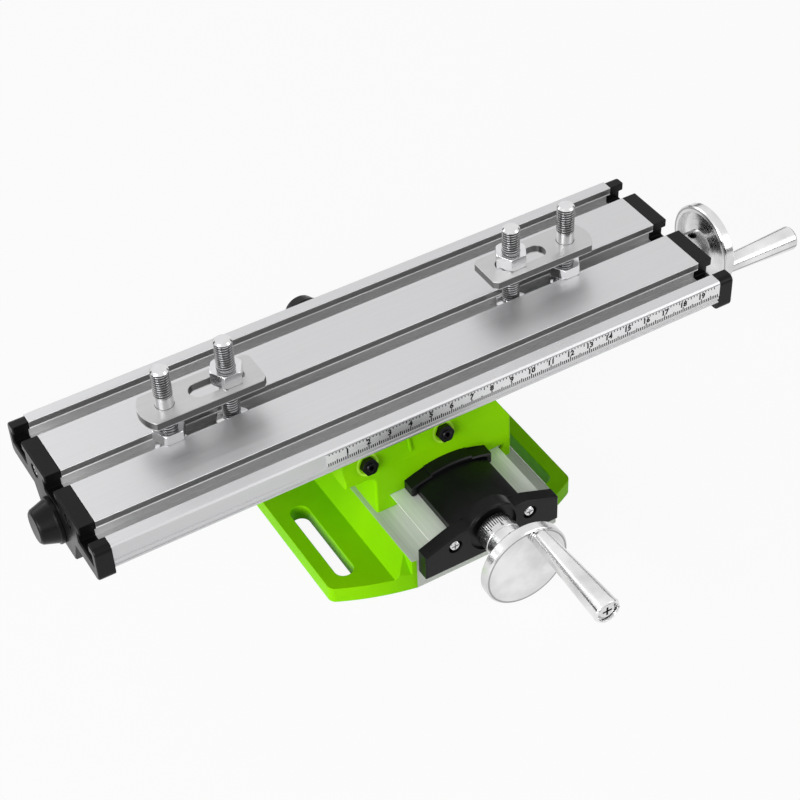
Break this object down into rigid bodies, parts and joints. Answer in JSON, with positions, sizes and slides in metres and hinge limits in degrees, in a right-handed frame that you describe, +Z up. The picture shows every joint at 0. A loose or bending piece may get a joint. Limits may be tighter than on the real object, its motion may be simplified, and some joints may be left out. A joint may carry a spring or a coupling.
{
  "type": "cross slide table",
  "caption": "Compound cross slide table with a T-slotted top, cast saddle and base on dovetails, feed screws with handwheels, and strap clamps.",
  "frame": {"origin": "middle of the base casting's underside", "axes": "+X along the table towards its handwheel, -Y towards the front handwheel, +Z up"},
  "size_m": [0.3905, 0.2476, 0.108],
  "materials": {
    "green_paint": "gloss",
    "black_plastic": "satin",
    "black_steel": "black oxide",
    "plated_steel": "bright plated",
    "strap_steel": "bright plated",
    "screw_steel": "machined",
    "plate_iron": "satin black",
    "nut_brass": "machined",
    "table_aluminium": "satin anodised",
    "rule_strip": "printed",
    "turned_aluminium": "polished"
  },
  "bodies": {
    "base": {"base_casting": "green_paint", "front_bracket": "black_plastic", "bracket_screws": "plated_steel", "rear_bearing_plate": "plate_iron", "rear_plate_screws": "plated_steel", "y_end_plug": "black_plastic"},
    "y_screw": {"y_leadscrew": "screw_steel", "y_handwheel": "turned_aluminium", "y_set_screw": "black_steel", "y_handle_bolt": "plated_steel", "y_lock_nut": "plated_steel"},
    "y_dial": {"y_dial": "turned_aluminium"},
    "y_handle": {"y_handle": "turned_aluminium"},
    "saddle": {"saddle": "green_paint", "screw_cover_collar": "black_plastic", "x_gib": "screw_steel", "y_gib": "screw_steel", "x_gib_screws": "black_steel", "x_gib_nuts": "black_steel", "y_gib_screws": "black_steel", "y_gib_nuts": "black_steel", "x_feed_nut": "nut_brass", "y_feed_nut": "nut_brass"},
    "table": {"table": "table_aluminium", "rule": "rule_strip", "left_end_cap": "black_plastic", "right_end_cap": "black_plastic", "end_cap_screws": "plated_steel", "x_end_plug": "black_plastic"},
    "x_screw": {"x_leadscrew": "screw_steel", "x_handwheel": "turned_aluminium", "x_set_screw": "black_steel", "x_handle_bolt": "plated_steel", "x_lock_nut": "plated_steel"},
    "x_dial": {"x_dial": "turned_aluminium"},
    "x_handle": {"x_handle": "turned_aluminium"},
    "left_clamp": {"left_strap": "strap_steel", "left_heel_bolt": "plated_steel", "left_heel_nut": "plated_steel"},
    "left_slot_bolt": {"left_slot_bolt": "plated_steel"},
    "left_top_nut": {"left_top_nut": "plated_steel"},
    "right_clamp": {"right_strap": "strap_steel", "right_heel_bolt": "plated_steel", "right_heel_nut": "plated_steel"},
    "right_slot_bolt": {"right_slot_bolt": "plated_steel"},
    "right_top_nut": {"right_top_nut": "plated_steel"}
  },
  "joints": [
    {"name": "y_turn", "type": "hinge", "parent": "base", "child": "y_screw", "pos_m": [0.0085, -0.0806, 0.023], "axis": [0, -1, 0], "range_deg": [-7200, 7200]},
    {"name": "saddle_slide", "type": "slide", "parent": "base", "child": "saddle", "axis": [0, 1, 0], "range_m": [-0.025, 0.025]},
    {"name": "x_turn", "type": "hinge", "parent": "table", "child": "x_screw", "pos_m": [0.15735, -0.0017, 0.05], "axis": [1, 0, 0], "range_deg": [-25920, 25920]},
    {"name": "table_slide", "type": "slide", "parent": "saddle", "child": "table", "axis": [1, 0, 0], "range_m": [-0.09, 0.09]},
    {"name": "y_dial_turn", "type": "hinge", "parent": "y_screw", "child": "y_dial", "pos_m": [0.0085, -0.085, 0.023], "axis": [0, -1, 0], "continuous": true},
    {"name": "x_dial_turn", "type": "hinge", "parent": "x_screw", "child": "x_dial", "pos_m": [0.161, -0.0017, 0.05], "axis": [1, 0, 0], "continuous": true},
    {"name": "y_handle_spin", "type": "hinge", "parent": "y_screw", "child": "y_handle", "pos_m": [0.01376, -0.13, 0.03864], "axis": [0, -1, 0], "continuous": true},
    {"name": "x_handle_spin", "type": "hinge", "parent": "x_screw", "child": "x_handle", "pos_m": [0.2, -0.00411, 0.03368], "axis": [1, 0, 0], "continuous": true},
    {"name": "left_clamp_slide", "type": "slide", "parent": "table", "child": "left_clamp", "axis": [1, 0, 0], "range_m": [-0.038, 0.055]},
    {"name": "right_clamp_slide", "type": "slide", "parent": "table", "child": "right_clamp", "axis": [1, 0, 0], "range_m": [-0.055, 0.04]},
    {"name": "left_bolt_slide", "type": "slide", "parent": "left_clamp", "child": "left_slot_bolt", "axis": [1, 0, 0], "range_m": [-0.0125, 0.0028]},
    {"name": "right_bolt_slide", "type": "slide", "parent": "right_clamp", "child": "right_slot_bolt", "axis": [1, 0, 0], "range_m": [-0.0028, 0.0125]},
    {"name": "left_nut_turn", "type": "hinge", "parent": "left_slot_bolt", "child": "left_top_nut", "pos_m": [-0.07015, -0.0017, 0.09], "axis": [0, 0, 1], "continuous": true},
    {"name": "right_nut_turn", "type": "hinge", "parent": "right_slot_bolt", "child": "right_top_nut", "pos_m": [0.06865, -0.0017, 0.09], "axis": [0, 0, 1], "continuous": true}
  ],
  "couplings": [
    {"joint": "y_turn", "follows": "saddle_slide", "rad_per_m": 5026.5},
    {"joint": "x_turn", "follows": "table_slide", "rad_per_m": 5026.5}
  ]
}
